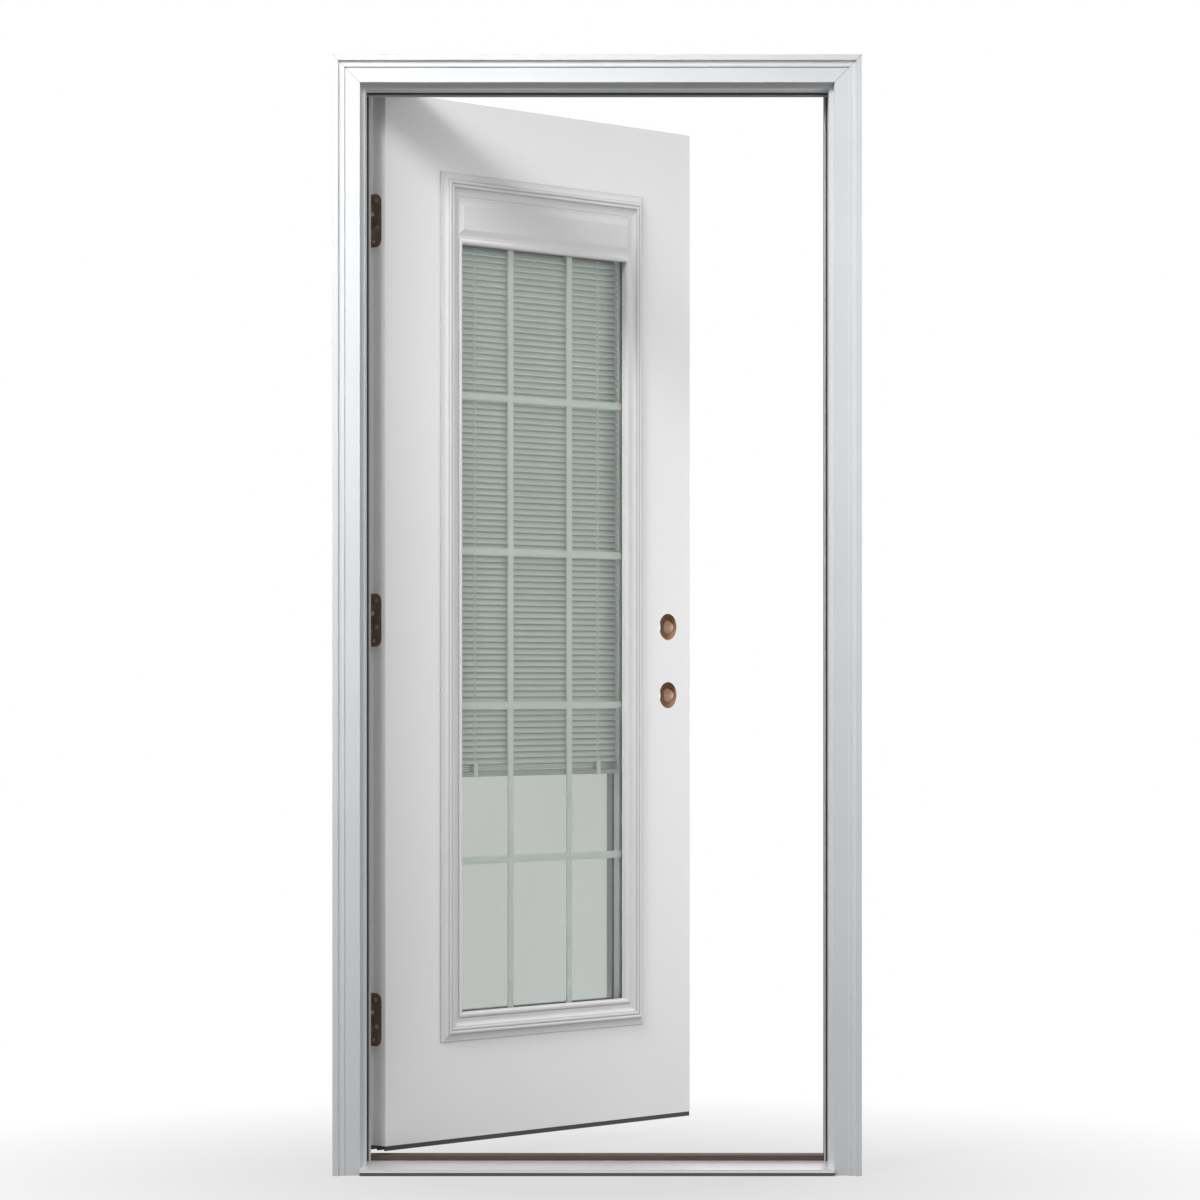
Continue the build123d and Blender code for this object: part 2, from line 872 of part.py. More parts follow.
def make_sweep():
    """The finned sweep under the leaf, held clear of the cap."""
    low = cap_top + sweep_clearance
    front = outside_face + sweep_inset
    back = jamb_depth - sweep_inset
    plate_low = slab_bottom - sweep_wall
    middle = (front + back) / 2
    section = closed(
        (front, slab_bottom),
        (front, low),
        (front + sweep_wall, low),
        (front + 2 * sweep_wall, plate_low),
        (middle - sweep_wall, plate_low),
        (middle - sweep_wall / 2, low),
        (middle + sweep_wall / 2, low),
        (middle + sweep_wall, plate_low),
        (back - 2 * sweep_wall, plate_low),
        (back - sweep_wall, low),
        (back, low),
        (back, slab_bottom),
    )
    return {"door_sweep": across(section, hinge_edge, lock_edge - bevel_run)}


def opened(shape):
    """Turn a piece of the closed leaf about the hinge pins to its place at rest."""
    return Pos(pin_x, pin_y, 0) * Rot(0, 0, rest_open_angle) * Pos(-pin_x, -pin_y, 0) * shape


def make_frame_pieces():
    pieces = {}
    for maker in (make_sill, make_jambs, make_casings, make_seals, make_fixed_hinges):
        pieces.update(maker())
    return pieces


def make_leaf_pieces():
    pieces = {}
    for maker in (make_slab, make_lite, make_grille, make_blind, make_sweep, make_door_hinges):
        pieces.update(maker())
    return {name: opened(piece) for name, piece in pieces.items()}


def main():
    os.makedirs("parts", exist_ok=True)
    pieces = make_frame_pieces()
    pieces.update(make_leaf_pieces())
    for name, piece in pieces.items():
        export_step(piece, "parts/" + name + ".step")


main()
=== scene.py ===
import json
import math
import random

import bmesh
import bpy
from mathutils import Matrix, Vector


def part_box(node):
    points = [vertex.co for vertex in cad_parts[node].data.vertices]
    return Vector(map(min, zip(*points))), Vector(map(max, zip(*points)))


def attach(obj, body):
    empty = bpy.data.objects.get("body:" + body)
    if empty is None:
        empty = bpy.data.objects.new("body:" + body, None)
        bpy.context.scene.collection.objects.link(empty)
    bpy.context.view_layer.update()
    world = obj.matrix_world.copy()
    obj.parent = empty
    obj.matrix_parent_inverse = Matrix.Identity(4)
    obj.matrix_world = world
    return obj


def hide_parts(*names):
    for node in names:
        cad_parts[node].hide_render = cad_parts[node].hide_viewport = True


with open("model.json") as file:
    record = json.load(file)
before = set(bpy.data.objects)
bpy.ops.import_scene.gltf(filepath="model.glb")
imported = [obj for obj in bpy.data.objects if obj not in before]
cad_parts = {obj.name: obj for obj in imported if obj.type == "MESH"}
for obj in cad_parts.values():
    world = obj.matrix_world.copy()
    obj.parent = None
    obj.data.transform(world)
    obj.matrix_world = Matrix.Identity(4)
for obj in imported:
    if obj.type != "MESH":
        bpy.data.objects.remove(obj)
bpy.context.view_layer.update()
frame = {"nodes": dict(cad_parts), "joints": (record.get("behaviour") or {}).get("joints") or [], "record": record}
nodes = frame["nodes"]
hinge = frame["joints"][0]
mounts = {mount["name"]: mount for mount in frame["record"]["mounts"]}

MM = 0.001

# The photo's view: a distant camera square to the wall, aimed level, with the frame shifted up.
CAMERA_DISTANCE = 7.954
CAMERA_HEIGHT = 0.930
CAMERA_LENS = 126.8
CAMERA_SENSOR = 36.0
CAMERA_SHIFT_X = 0.0024
CAMERA_SHIFT_Y = 0.0667
CAMERA_REACH = 200.0

# Each lamp's place and target, its width and height, its power in watts and its spread in degrees.
# The room lamps stand beside and behind the door, and gloss and glass don't show them.
LAMPS = {
    "key": ((-1.6, -3.0, 4.0), (-0.22, 0.2, 1.45), (1.2, 1.0), 14.8, 50.0),
    "front": ((-0.3, -2.2, 3.3), (0.0, 0.2, 1.5), (1.2, 1.0), 12.0, 180.0),
    "fill": ((2.0, -4.0, 2.0), (0.0, 0.3, 1.1), (1.2, 1.2), 9.0, 180.0),
    "right_room": ((2.4, 0.5, 1.1), (-0.1, 0.4, 1.0), (1.4, 1.6), 32.0, 180.0),
    "left_room": ((-4.8, 0.35, 3.0), (0.1, 0.8, 1.1), (1.6, 1.6), 45.0, 180.0),
    "back_room": ((-1.5, 4.5, 4.0), (0.0, 0.3, 1.2), (2.0, 2.0), 45.0, 180.0),
}
ROOM_LAMPS = ("right_room", "left_room", "back_room")
WORLD_LIGHT = 0.42

# The floor keeps its own shade by the object and fades out to white between two distances.
FLOOR_HALF = 30.0
FLOOR_SHADES = ((0.3, (0.255, 0.255, 0.255)), (0.7, (0.272, 0.272, 0.272)))
FADE_START = 0.62
FADE_END = 1.0
FADE_LOW = 0.3
FADE_HIGH = 1.5

# The leaf, as it hangs open at rest. Shaders turn coordinates about the origin until they lie
# square to it.
REST_OPEN = -math.radians(hinge["range_deg"][0])
PIN = Vector((hinge["pos_m"][0], hinge["pos_m"][1], 0.0))
TO_REST = Matrix.Translation(PIN) @ Matrix.Rotation(REST_OPEN, 4, "Z") @ Matrix.Translation(-PIN)
TO_SHUT = TO_REST.inverted()
LEAF_TURN = (0.0, 0.0, -REST_OPEN)
LEAF_SQUARE = Matrix.Rotation(-REST_OPEN, 4, "Z")


def at_rest(x, y, z):
    """A point given with the leaf shut, carried to where it is at rest."""
    return TO_REST @ Vector((x, y, z))


def shut_box(name):
    """Lowest and highest corners of a node of the leaf with the leaf shut."""
    points = [TO_SHUT @ v.co for v in nodes[name].data.vertices]
    low = Vector([min(p[i] for p in points) for i in range(3)])
    high = Vector([max(p[i] for p in points) for i in range(3)])
    return low, high


STRIKE_LOW, STRIKE_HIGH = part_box("strike_jamb")
STOP_HALF = STRIKE_LOW.x
JAMB_BACK = STRIKE_HIGH.y
HEAD_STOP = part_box("head_jamb")[0].z
JAMB_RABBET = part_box("weatherstrip_hinge_side")[0].x
CASING_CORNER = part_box("brickmould_strike_side")[1]
OUTDOOR_FRAME = shut_box("lite_frame_exterior")
INDOOR_FRAME = shut_box("lite_frame_interior")
SLAT_LOW, SLAT_HIGH = shut_box("blind_slats")
CORD_LOW, CORD_HIGH = shut_box("blind_ladder_cords")
RAIL_LOW, RAIL_HIGH = shut_box("blind_bottom_rail")
GRILLE_LOW, GRILLE_HIGH = shut_box("grille")
TRACK_LOW, TRACK_HIGH = shut_box("blind_operator_track")
INNER_PANE = shut_box("glass_inner")[0].y
SKIN_THICKNESS = 0.6 * MM
SKIN_HINGE_EDGE = shut_box("hinge_stile")[0].x - SKIN_THICKNESS
PLACES = ("top", "middle", "bottom")

# Lowered slats: shut, wider than their pitch, each with a slight change of tilt and sag of its own
SLAT_SEED = 7
SLAT_COUNT = 84
SLAT_PITCH = 12.0 * MM
SLAT_WIDTH = 14.2 * MM
SLAT_THICKNESS = 0.25 * MM
SLAT_CROWN = 0.9 * MM
SLAT_OVERHANG = 4.0 * MM
SLAT_TILT = math.radians(58.0)
SLAT_TILT_CHANGE = math.radians(1.5)
SLAT_SAG = 0.5 * MM
SLAT_SECTIONS = (0.0, 0.12, 0.5, 0.88, 1.0)
SLAT_STEPS = 6
SLAT_MIDDLE = (SLAT_LOW.y + SLAT_HIGH.y) / 2

# Spare slats, which lie flat on the bottom rail in small groups
STACK_COUNT = 15
STACK_GROUP = 4
STACK_STEP = 0.7 * MM
STACK_GAP = 2.1 * MM
STACK_WIDTH = 11.6 * MM
STACK_CROWN = 0.5 * MM
STACK_PUSH = 0.35 * MM
STACK_TOP = RAIL_HIGH.z + 15.0 * MM
FIRST_SLAT = STACK_TOP + 6.5 * MM

# Ladder cords, front and rear, with a knot at each rung, and the plain lift cord between them
LADDERS = (CORD_LOW.x + 0.8 * MM, CORD_HIGH.x - 0.8 * MM)
CORD_RADIUS = 0.8 * MM
KNOT_RADIUS = 1.3 * MM
CORD_OFFSET = 4.5 * MM
KNOT_OFFSET = 4.9 * MM
CORD_STEPS = 4
CORD_SIDES = 6

# Clips on the bottom rail
CLIP_HALF = 5.0 * MM
CLIP_WALL = 0.9 * MM
CLIP_SHOULDER = STACK_TOP + 1.0 * MM
CLIP_TOP = STACK_TOP + 1.5 * MM

# Grille bars. The contour is a quarter of a bar's section, in shares of its half width and depth.
BAR_HALF = 7.25 * MM
BAR_CONTOUR = ((1.0, 0.5), (0.95, 0.66), (0.76, 0.72), (0.62, 0.86), (0.46, 1.0))
BAR_COLUMNS = 3
BAR_ROWS = 5
UPRIGHT_SHY = 0.1 * MM
TRACK_SHORT = 10.0 * MM

# Channels beside the blind
CHANNEL_WALL = 1.0 * MM
CHANNEL_FACE = 16.5 * MM
CHANNEL_FRONT = GRILLE_HIGH.y + 0.6 * MM
CHANNEL_BACK = INNER_PANE - 0.4 * MM

# Hinge screws: height from the hinge's middle, and distance from the jamb's indoor edge, in mm.
# A head's profile gives shares of its radius and heights in mm. Its recess is a cross, given by
# its narrowest share of the radius, what an arm adds to that, and its height.
SCREW_PLACES = ((38.5, 18.5), (12.6, 9.5), (-12.9, 21.0), (-39.5, 12.0))
SCREW_RADIUS = 4.2 * MM
SCREW_SIDES = 24
SCREW_PROFILE = ((1.0, 0.02), (0.96, 0.28), (0.62, 0.36))
RECESS_MOUTH = (0.16, 0.36, 0.36 * MM)
RECESS_FLOOR = (0.10, 0.26, -0.5 * MM)

# Screw plugs of the indoor lite frame: places along its sides and ends, and a plug's profile in mm
PLUG_INSET = 11.5 * MM
PLUG_SEAT = 7.6 * MM
PLUG_RADIUS = 3.6 * MM
PLUG_SIDES = 20
PLUG_PROFILE = ((1.0, -1.2), (1.0, 0.35), (0.86, 0.6), (0.3, 0.75))
PLUGS_UP = (0.06, 0.28, 0.5, 0.72, 0.94)
PLUGS_ACROSS = (0.3, 0.7)


def tint(colour, factor):
    """A colour made darker or lighter."""
    return tuple(min(1.0, c * factor) for c in colour)


FINE_BUMP = 0.2 * MM

# Colour sockets of a Mix node: its two inputs and its output
MIX_FIRST = 6
MIX_SECOND = 7
MIX_RESULT = 2


class Nodes:
    """A node tree and a few short ways to wire it."""

    def __init__(self, tree):
        self.tree = tree

    def add(self, kind, **values):
        node = self.tree.nodes.new(kind)
        for key, value in values.items():
            setattr(node, key, value)
        return node

    def link(self, source, target):
        self.tree.links.new(source, target)

    def math(self, operation, first, second=None):
        node = self.add("ShaderNodeMath", operation=operation)
        for index, value in ((0, first), (1, second)):
            if value is None:
                continue
            if isinstance(value, (int, float)):
                node.inputs[index].default_value = value
            else:
                self.link(value, node.inputs[index])
        return node.outputs[0]

    def highest(self, values):
        """The greatest of several values."""
        top = values[0]
        for value in values[1:]:
            top = self.math("MAXIMUM", top, value)
        return top

    def length(self, first, second):
        """Distance from the origin in the plane of two coordinates."""
        squares = [self.math("MULTIPLY", value, value) for value in (first, second)]
        return self.math("SQRT", self.math("ADD", squares[0], squares[1]))

    def remap(self, value, low, high, source_low=0.0, source_high=1.0):
        """A value carried from its source range to the range from low to high."""
        node = self.add("ShaderNodeMapRange")
        node.inputs["From Min"].default_value = source_low
        node.inputs["From Max"].default_value = source_high
        node.inputs["To Min"].default_value = low
        node.inputs["To Max"].default_value = high
        self.link(value, node.inputs["Value"])
        return node.outputs["Result"]

    def looked_at(self):
        """One for rays from the camera, off gloss and through glass, zero for other light."""
        paths = self.add("ShaderNodeLightPath")
        kinds = ("Is Camera Ray", "Is Glossy Ray", "Is Transmission Ray")
        return self.highest([paths.outputs[kind] for kind in kinds])


class Shader(Nodes):
    """A node material around its Principled shader."""

    def __init__(self, name):
        self.material = bpy.data.materials.new(name)
        self.material.use_nodes = True
        super().__init__(self.material.node_tree)
        self.bsdf = self.tree.nodes["Principled BSDF"]

    def place(self, scale=(1.0, 1.0, 1.0), turn=(0.0, 0.0, 0.0), shift=(0.0, 0.0, 0.0)):
        """Coordinates of the piece in metres, scaled, turned and shifted."""
        coords = self.add("ShaderNodeTexCoord")
        mapping = self.add("ShaderNodeMapping")
        mapping.inputs["Scale"].default_value = scale
        mapping.inputs["Rotation"].default_value = turn
        mapping.inputs["Location"].default_value = shift
        self.link(coords.outputs["Object"], mapping.inputs["Vector"])
        return mapping.outputs["Vector"]

    def axes(self, vector):
        split = self.add("ShaderNodeSeparateXYZ")
        self.link(vector, split.inputs["Vector"])
        return split.outputs["X"], split.outputs["Y"], split.outputs["Z"]

    def noise(self, scale=1.0, detail=3.0, roughness=0.55, stretch=(1.0, 1.0, 1.0)):
        """Noise over the piece, its coordinates multiplied by stretch before scale."""
        noise = self.add("ShaderNodeTexNoise")
        noise.inputs["Scale"].default_value = scale
        noise.inputs["Detail"].default_value = detail
        noise.inputs["Roughness"].default_value = roughness
        self.link(self.place(stretch), noise.inputs["Vector"])
        return noise.outputs["Fac"]

    def ramp(self, value, stops):
        ramp = self.add("ShaderNodeValToRGB")
        elements = ramp.color_ramp.elements
        while len(elements) < len(stops):
            elements.new(0.5)
        for element, (position, colour) in zip(elements, stops):
            element.position = position
            element.color = (*colour, 1.0)
        self.link(value, ramp.inputs["Fac"])
        return ramp.outputs["Color"]

    def vary(self, value, base, darkest, lightest, low=0.3, high=0.7):
        """The base colour times darkest where the value is low, and times lightest where it is high."""
        return self.ramp(value, ((low, tint(base, darkest)), (high, tint(base, lightest))))

    def mix(self, factor, first, second):
        node = self.add("ShaderNodeMix", data_type="RGBA")
        self.link(factor, node.inputs["Factor"])
        for index, value in ((MIX_FIRST, first), (MIX_SECOND, second)):
            if isinstance(value, tuple):
                node.inputs[index].default_value = (*value, 1.0)
            else:
                self.link(value, node.inputs[index])
        return node.outputs[MIX_RESULT]

    def bump(self, height, strength, distance=FINE_BUMP, below=None):
        node = self.add("ShaderNodeBump")
        node.inputs["Strength"].default_value = strength
        node.inputs["Distance"].default_value = distance
        self.link(height, node.inputs["Height"])
        if below is not None:
            self.link(below, node.inputs["Normal"])
        return node.outputs["Normal"]

    def put(self, socket, value):
        self.bsdf.inputs[socket].default_value = value

    def colour(self, source):
        self.link(source, self.bsdf.inputs["Base Color"])

    def roughness(self, source):
        self.link(source, self.bsdf.inputs["Roughness"])

    def normal(self, source):
        self.link(source, self.bsdf.inputs["Normal"])


# Colours, and stops of colour ramps
TIMBER_WHITE = (0.70, 0.71, 0.725)
STEEL_WHITE = (0.80, 0.80, 0.80)
PLASTIC_WHITE = (0.675, 0.665, 0.668)
JOINT_GREY = (0.25, 0.25, 0.26)
OUTER_GLASS = (0.82, 0.86, 0.835)
INNER_GLASS = (0.56, 0.565, 0.555)
SPACER_GREEN = (0.42, 0.47, 0.44)
BAR_WHITE = (0.95, 0.975, 0.965)
# The rails' grey is painted shade: a darker copy of the blind's white enamel.
RAIL_PAINTED_SHADE_GREY = (0.52, 0.55, 0.53)
SLAT_WHITE = (0.82, 0.85, 0.83)
SLAT_PAINTED_SHADE = (0.17, 0.19, 0.175)
CORD_SHADES = ((0.35, (0.88, 0.90, 0.88)), (0.65, (0.96, 0.97, 0.96)))
BRONZE_FILM = ((0.3, (0.13, 0.098, 0.070)), (0.55, (0.18, 0.135, 0.095)), (0.78, (0.25, 0.19, 0.13)))
BRONZE_RUBBED = (0.29, 0.22, 0.15)
SCREW_SHADES = ((0.35, (0.34, 0.27, 0.19)), (0.7, (0.78, 0.68, 0.55)))
WOOD_RINGS = ((0.1, (0.36, 0.165, 0.075)), (0.6, (0.50, 0.26, 0.13)), (0.95, (0.62, 0.36, 0.21)))
WOOD_PATCH = (0.56, 0.32, 0.18)
FRESH_WOOD_AND_PAINTED_LIGHT = ((0.3, (0.88, 0.70, 0.56)), (0.7, (0.97, 0.86, 0.76)))
FOAM_CELLS = ((0.1, (0.62, 0.55, 0.36)), (0.6, (0.74, 0.68, 0.48)))
RUBBER_BLACK = ((0.3, (0.012, 0.011, 0.010)), (0.7, (0.024, 0.021, 0.019)))
SEAL_PAINTED_HIGHLIGHT = (0.62, 0.61, 0.60)
SWEEP_BROWN = (0.045, 0.038, 0.034)
ALUMINIUM = (0.92, 0.915, 0.93)
SILL_GREY = (0.09, 0.09, 0.088)
CAP_BROWN = (0.062, 0.036, 0.024)

# Dark joint line at the casing's mitres: half its width and where it ends, on the outdoor face
JOINT_HALF = 0.5 * MM
JOINT_END = 1.3 * MM
JOINT_DEPTH = 0.5 * MM
JOINT_STRENGTH = 0.6

# Grooves of a lite frame, in mm: distance in from its outer edge and half width. Painted shade darkens the
# moulding in them, the first at the frame's outer edge.
MOULDING_GROOVES = ((0.0, 1.4), (14.5, 1.8), (22.0, 2.0), (29.0, 1.8), (45.0, 1.8))
GROOVE_SHADE = 0.62

# A seal's pale line, a painted highlight, runs from its bulb to where its fin ends, as distances past the stop.
SEAL_BULB = 3.6 * MM
SEAL_FIN = 7.5 * MM
STRIKE_FIN = 5.9 * MM
SEAL_BLUR = 0.1 * MM

# Holes for the latch and the bolt: pale fresh wood shows on their walls, made paler as painted light, and fades
# out past them.
EDGE_BORES = ("latch_edge_bore", "deadbolt_edge_bore")
BORE_WALL = 0.05 * MM
BORE_FADE = 0.3 * MM


def painted_timber(name, along):
    """Painted timber with faint long brush marks, and a fine dark joint line at the casing's mitres."""
    s = Shader(name)
    paint = s.vary(s.noise(scale=5.0, detail=4.0), TIMBER_WHITE, 0.975, 1.015)
    x, y, z = s.axes(s.place())
    reach = CASING_CORNER.x - CASING_CORNER.z
    off_mitre = s.math("SUBTRACT", s.math("SUBTRACT", s.math("ABSOLUTE", x), z), reach)
    near_joint = s.remap(s.math("ABSOLUTE", off_mitre), 1.0, 0.0, JOINT_HALF, JOINT_END)
    outdoors = s.remap(y, 1.0, 0.0, -JOINT_DEPTH, JOINT_DEPTH)
    joint = s.math("MULTIPLY", s.math("MULTIPLY", outdoors, near_joint), JOINT_STRENGTH)
    s.colour(s.mix(joint, paint, JOINT_GREY))
    marks = s.noise(stretch=tuple(9.0 if axis == along else 900.0 for axis in "XYZ"))
    fine = s.noise(scale=1400.0, detail=2.0)
    s.roughness(s.remap(marks, 0.38, 0.52))
    s.normal(s.bump(fine, 0.05, below=s.bump(marks, 0.10)))
    s.put("Specular IOR Level", 0.4)
    return s.material


def painted_steel():
    """Smooth primed sheet steel with the least orange peel."""
    s = Shader("painted_steel")
    cloud = s.noise(scale=2.2)
    peel = s.noise(scale=420.0, detail=2.0, roughness=0.45)
    waves = s.noise(scale=6.0, detail=1.0)
    s.colour(s.vary(cloud, STEEL_WHITE, 0.985, 1.01))
    s.roughness(s.remap(cloud, 0.38, 0.46))
    s.normal(s.bump(waves, 0.05, 2.0 * MM, s.bump(peel, 0.06)))
    s.put("Specular IOR Level", 0.4)
    return s.material


def painted_groove_shade(s, box):
    """Painted shade mask: one in the grooves between the lite frame's lip, reeds, cove and bead, zero elsewhere.
    """
    low, high = [LEAF_SQUARE @ TO_REST @ corner for corner in box]
    x, _, z = s.axes(s.place(turn=LEAF_TURN))
    sides = s.math("MINIMUM", s.math("SUBTRACT", x, low.x), s.math("SUBTRACT", high.x, x))
    ends = s.math("MINIMUM", s.math("SUBTRACT", z, low.z), s.math("SUBTRACT", high.z, z))
    inward = s.math("MINIMUM", sides, ends)
    grooves = []
    for distance, half in MOULDING_GROOVES:
        away = s.math("ABSOLUTE", s.math("SUBTRACT", inward, distance * MM))
        grooves.append(s.remap(away, 1.0, 0.0, 0.0, half * MM))
    return s.highest(grooves)


def moulded_plastic(name, base, box=None):
    """Warm white moulded plastic with a fine even grain, and painted shade in the grooves of a lite frame's box.
    """
    s = Shader(name)
    colour = s.vary(s.noise(scale=7.0), base, 0.98, 1.01)
    if box is not None:
        colour = s.mix(painted_groove_shade(s, box), colour, tint(base, GROOVE_SHADE))
    s.colour(colour)
    grain = s.noise(scale=900.0)
    s.roughness(s.remap(grain, 0.32, 0.42))
    s.normal(s.bump(grain, 0.08))
    s.put("Specular IOR Level", 0.5)
    return s.material


def tinted_glass(name, base, bend):
    """Float glass, tinted to the tone that the photo's doorway gives it."""
    s = Shader(name)
    film = s.noise(scale=3.0, detail=2.0)
    s.colour(s.vary(film, base, 0.99, 1.01, 0.35, 0.65))
    s.put("Roughness", 0.0)
    s.put("IOR", bend)
    s.put("Transmission Weight", 1.0)
    return s.material


def spacer_metal():
    """Dull grey-green spacer bar, drawn along its length."""
    s = Shader("spacer_metal")
    drawn = s.noise(detail=2.0, stretch=(700.0, 700.0, 12.0))
    s.colour(s.vary(drawn, SPACER_GREEN, 0.93, 1.05))
    s.roughness(s.remap(drawn, 0.45, 0.6))
    s.put("Metallic", 0.2)
    return s.material


def enamel(name, base, rough, painted_shade=None):
    """White enamel on thin metal, with painted shade on the upper half of each slat, where it tucks under the slat
    above.
    """
    s = Shader(name)
    cloud = s.noise(scale=16.0)
    colour = s.vary(cloud, base, 0.97, 1.02)
    if painted_shade is not None:
        _, _, z = s.axes(s.place())
        # Painted shade: darker up each slat's upper half, half way to painted_shade at its top edge.
        pitches = s.math("DIVIDE", s.math("SUBTRACT", z, FIRST_SLAT - SLAT_PITCH / 2), SLAT_PITCH)
        under = s.remap(s.math("FRACT", pitches), 0.0, 0.5, 0.5, 1.0)
        colour = s.mix(under, colour, painted_shade)
    s.colour(colour)
    s.roughness(s.remap(cloud, rough - 0.04, rough + 0.04))
    s.normal(s.bump(s.noise(scale=700.0, detail=2.0), 0.05, 0.1 * MM))
    return s.material


def braided_cord():
    """Fine braided polyester cord."""
    s = Shader("blind_cord")
    braid = s.noise(scale=2600.0, detail=1.0)
    s.colour(s.ramp(braid, CORD_SHADES))
    s.normal(s.bump(braid, 0.4))
    s.put("Roughness", 0.8)
    return s.material


def dark_bronze():
    """Oil-rubbed bronze: a dark brown film, rubbed lighter in small uneven patches."""
    s = Shader("dark_bronze")
    cloud = s.noise(scale=55.0, detail=5.0, roughness=0.6)
    specks = s.noise(scale=420.0)
    s.colour(s.mix(s.remap(specks, 0.0, 0.35, 0.55, 0.75), s.ramp(cloud, BRONZE_FILM), BRONZE_RUBBED))
    s.roughness(s.remap(cloud, 0.38, 0.55))
    s.normal(s.bump(specks, 0.12))
    s.put("Metallic", 0.25)
    return s.material


def screw_metal():
    """Screws of the same bronze, lighter in colour on their heads."""
    s = Shader("screw_bronze")
    cloud = s.noise(scale=260.0, detail=4.0)
    s.colour(s.ramp(cloud, SCREW_SHADES))
    s.roughness(s.remap(cloud, 0.26, 0.42))
    s.put("Metallic", 0.75)
    return s.material


def bored(s, colour, bores):
    """A colour that turns to pale, newly cut wood inside the leaf's edge bores and on their walls, made paler as
    painted light.
    """
    holes = []
    for bore in bores:
        centre = LEAF_SQUARE @ Vector(mounts[bore]["pos_m"])
        _, y, z = s.axes(s.place(turn=LEAF_TURN, shift=(0.0, -centre.y, -centre.z)))
        radius = mounts[bore]["dims"]["r_mm"] * MM
        holes.append(s.remap(s.length(y, z), 1.0, 0.0, radius + BORE_WALL, radius + BORE_FADE))
    shavings = s.noise(stretch=(90.0, 90.0, 900.0))
    return s.mix(s.highest(holes), colour, s.ramp(shavings, FRESH_WOOD_AND_PAINTED_LIGHT))


def rough_fibre(s, strength):
    """Roughness and bump of fine upright wood fibre."""
    fibre = s.noise(stretch=(1500.0, 1500.0, 60.0))
    s.roughness(s.remap(fibre, 0.6, 0.8))
    s.normal(s.bump(fibre, strength, 0.3 * MM))


def cut_wood(name, shade=1.0, bores=()):
    """Cut softwood with growth rings, freshly cut inside its edge bores, where its paleness is partly painted
    light.
    """
    s = Shader(name)
    stretch = (1.0, 1.0, 0.12)
    rings = s.add("ShaderNodeTexWave", wave_type="RINGS", rings_direction="Z")
    rings.inputs["Scale"].default_value = 55.0
    rings.inputs["Distortion"].default_value = 5.0
    rings.inputs["Detail"].default_value = 3.0
    s.link(s.place(stretch), rings.inputs["Vector"])
    grain = s.ramp(rings.outputs["Fac"], [(stop, tint(colour, shade)) for stop, colour in WOOD_RINGS])
    wander = s.noise(scale=26.0, detail=4.0, stretch=stretch)
    wood = s.mix(s.remap(wander, 0.0, 0.5), grain, tint(WOOD_PATCH, shade))
    s.colour(bored(s, wood, bores) if bores else wood)
    rough_fibre(s, 0.35)
    return s.material


def painted_edge(name, bores=()):
    """Primed edge of the leaf, with bare wood inside the holes for the latch and the bolt, paler there as painted
    light.
    """
    s = Shader(name)
    paint = s.vary(s.noise(scale=9.0), STEEL_WHITE, 0.95, 1.0)
    s.colour(bored(s, paint, bores) if bores else paint)
    rough_fibre(s, 0.12)
    return s.material


def foam_material():
    """Pale yellow foam with fine cells."""
    s = Shader("foam")
    cells = s.add("ShaderNodeTexVoronoi")
    cells.inputs["Scale"].default_value = 900.0
    s.link(s.place(), cells.inputs["Vector"])
    s.colour(s.ramp(cells.outputs["Distance"], FOAM_CELLS))
    s.normal(s.bump(cells.outputs["Distance"], 0.3, 0.4 * MM))
    s.put("Roughness", 0.9)
    return s.material


def seal_rubber(name, upright, fin_end):
    """Black compression seal with a painted highlight, a pale line along its fin, on an upright jamb or on the
    head.
    """
    s = Shader(name)
    drag = s.noise(detail=2.0, stretch=(800.0, 800.0, 14.0))
    x, _, z = s.axes(s.place())
    if upright:
        past = s.math("SUBTRACT", STOP_HALF, s.math("ABSOLUTE", x))
    else:
        past = s.math("SUBTRACT", HEAD_STOP, z)
    start = s.remap(past, 0.0, 1.0, SEAL_BULB - SEAL_BLUR, SEAL_BULB)
    end = s.remap(past, 1.0, 0.0, fin_end, fin_end + SEAL_BLUR)
    s.colour(s.mix(s.math("MULTIPLY", start, end), s.ramp(drag, RUBBER_BLACK), SEAL_PAINTED_HIGHLIGHT))
    s.roughness(s.remap(drag, 0.45, 0.6))
    s.normal(s.bump(drag, 0.1))
    return s.material


def sweep_vinyl():
    """Extruded vinyl with a fine drag along its length."""
    s = Shader("sweep_vinyl")
    drag = s.noise(detail=2.0, stretch=(14.0, 800.0, 800.0))
    s.colour(s.vary(drag, SWEEP_BROWN, 0.8, 1.3))
    s.roughness(s.remap(drag, 0.44, 0.58))
    s.normal(s.bump(drag, 0.1))
    return s.material


def mill_aluminium():
    """Extruded aluminium with fine die lines along X and a few dull patches."""
    s = Shader("mill_aluminium")
    lines = s.noise(stretch=(6.0, 1600.0, 1600.0))
    s.colour(s.vary(lines, ALUMINIUM, 0.94, 1.04))
    s.roughness(s.remap(s.noise(scale=9.0), 0.24, 0.34))
    s.normal(s.bump(lines, 0.12))
    s.put("Metallic", 0.4)
    return s.material


def composite(name, base, rough):
    """Moulded wood-plastic composite with a low grain along X."""
    s = Shader(name)
    grain = s.noise(detail=4.0, roughness=0.6, stretch=(14.0, 420.0, 420.0))
    s.colour(s.vary(grain, base, 0.72, 1.3))
    s.roughness(s.remap(grain, rough - 0.08, rough + 0.08))
    s.normal(s.bump(grain, 0.3, 0.3 * MM))
    return s.material


def dress(material, *names):
    """Give CAD nodes their finish."""
    for name in names:
        mesh = nodes[name].data
        mesh.materials.clear()
        mesh.materials.append(material)


steel = painted_steel()
plastic = moulded_plastic("moulded_plastic", PLASTIC_WHITE)
